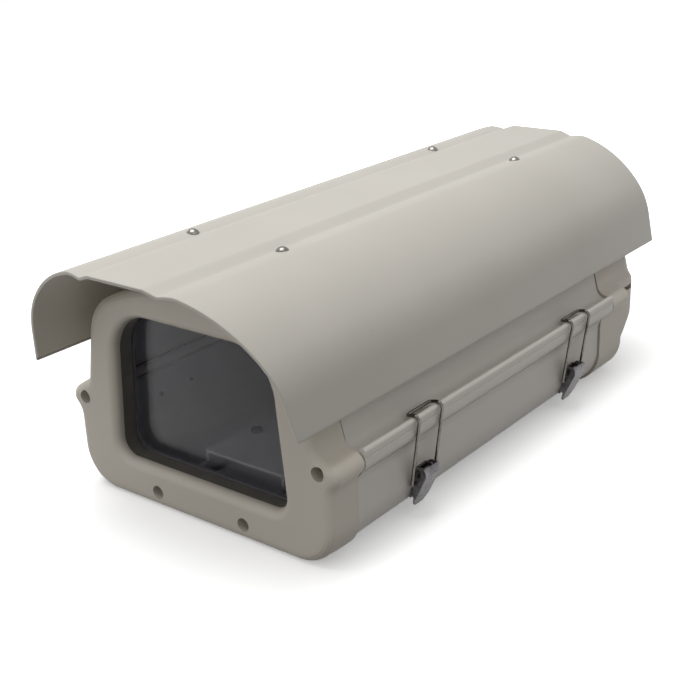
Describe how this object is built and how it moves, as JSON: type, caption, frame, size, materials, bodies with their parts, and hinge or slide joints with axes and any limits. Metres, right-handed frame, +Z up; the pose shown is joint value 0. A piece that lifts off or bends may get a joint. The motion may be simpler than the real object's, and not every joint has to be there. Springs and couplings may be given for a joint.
{
  "type": "security camera housing",
  "caption": "Outdoor camera housing: extruded body and hinged lid between a cast front with window and a cast rear cap, wire latches, and a formed sheet sunshield on spacers.",
  "frame": {"origin": "centre of the four mounting holes in the foot, on the plane that the housing stands on", "axes": "+X to the right seen from the front, where the latches are; +Y from the window to the rear cap; +Z up"},
  "size_m": [0.2261, 0.44, 0.1652],
  "materials": {
    "casting": "die cast, powder coated warm grey, fine orange peel",
    "extrusion": "extruded, powder coated warm grey",
    "sheet": "sheet, powder coated light warm grey",
    "plate": "plain, brushed",
    "glass": "clear float glass",
    "steel": "stainless, polished",
    "dark_steel": "pressed stainless, satin",
    "rubber": "matt black",
    "gland_plastic": "moulded, matt"
  },
  "bodies": {
    "housing": {"lower_body": "extrusion", "front_bezel": "casting", "rear_cap": "casting", "window_gasket": "rubber", "window_glass": "glass", "window_retainer": "plate", "retainer_screws": "steel", "bezel_screws": "steel", "cap_screws": "steel", "front_gasket": "rubber", "rear_gasket": "rubber", "lid_seal_front": "rubber", "lid_seal_rear": "rubber", "lid_side_seals": "rubber", "hinge_body_leaf_front": "steel", "hinge_body_leaf_rear": "steel", "hinge_pin_front": "steel", "hinge_pin_rear": "steel", "hinge_body_rivets": "steel", "latch_bracket_front": "steel", "latch_bracket_rear": "steel", "latch_rivets": "steel", "latch_pin_front": "steel", "latch_pin_rear": "steel", "camera_tray": "plate", "tray_posts": "plate", "tray_screws": "steel", "camera_screw": "steel", "gland_body_right": "gland_plastic", "gland_body_left": "gland_plastic", "gland_dome_right": "gland_plastic", "gland_dome_left": "gland_plastic", "gland_seal_right": "rubber", "gland_seal_left": "rubber", "gland_locknut_right": "gland_plastic", "gland_locknut_left": "gland_plastic"},
    "cover": {"lid": "extrusion", "sunshield": "sheet", "shield_spacers": "plate", "shield_screws": "steel", "hinge_lid_leaf_front": "steel", "hinge_lid_leaf_rear": "steel", "hinge_lid_rivets": "steel"},
    "lever_front": {"latch_lever_front": "dark_steel"},
    "lever_rear": {"latch_lever_rear": "dark_steel"},
    "bail_front": {"latch_bail_front": "steel"},
    "bail_rear": {"latch_bail_rear": "steel"}
  },
  "joints": [
    {"name": "lid_hinge", "type": "hinge", "parent": "housing", "child": "cover", "pos_m": [-0.1115, 0, 0.0535], "axis": [0, -1, 0], "range_deg": [0, 80]},
    {"name": "lever_front_pivot", "type": "hinge", "parent": "housing", "child": "lever_front", "pos_m": [0.1052, -0.0905, 0.0306], "axis": [0, -1, 0], "range_deg": [0, 90]},
    {"name": "lever_rear_pivot", "type": "hinge", "parent": "housing", "child": "lever_rear", "pos_m": [0.1052, 0.0905, 0.0306], "axis": [0, -1, 0], "range_deg": [0, 90]},
    {"name": "bail_front_pivot", "type": "hinge", "parent": "lever_front", "child": "bail_front", "pos_m": [0.1034, -0.0905, 0.024], "axis": [0, -1, 0], "range_deg": [-195, 0]},
    {"name": "bail_rear_pivot", "type": "hinge", "parent": "lever_rear", "child": "bail_rear", "pos_m": [0.1034, 0.0905, 0.024], "axis": [0, -1, 0], "range_deg": [-195, 0]}
  ],
  "couplings": [
    {"joint": "lever_front_pivot", "follows": "lid_hinge", "ratio": 1.125},
    {"joint": "lever_rear_pivot", "follows": "lid_hinge", "ratio": 1.125},
    {"joint": "bail_front_pivot", "follows": "lid_hinge", "ratio": -2.4375},
    {"joint": "bail_rear_pivot", "follows": "lid_hinge", "ratio": -2.4375}
  ]
}
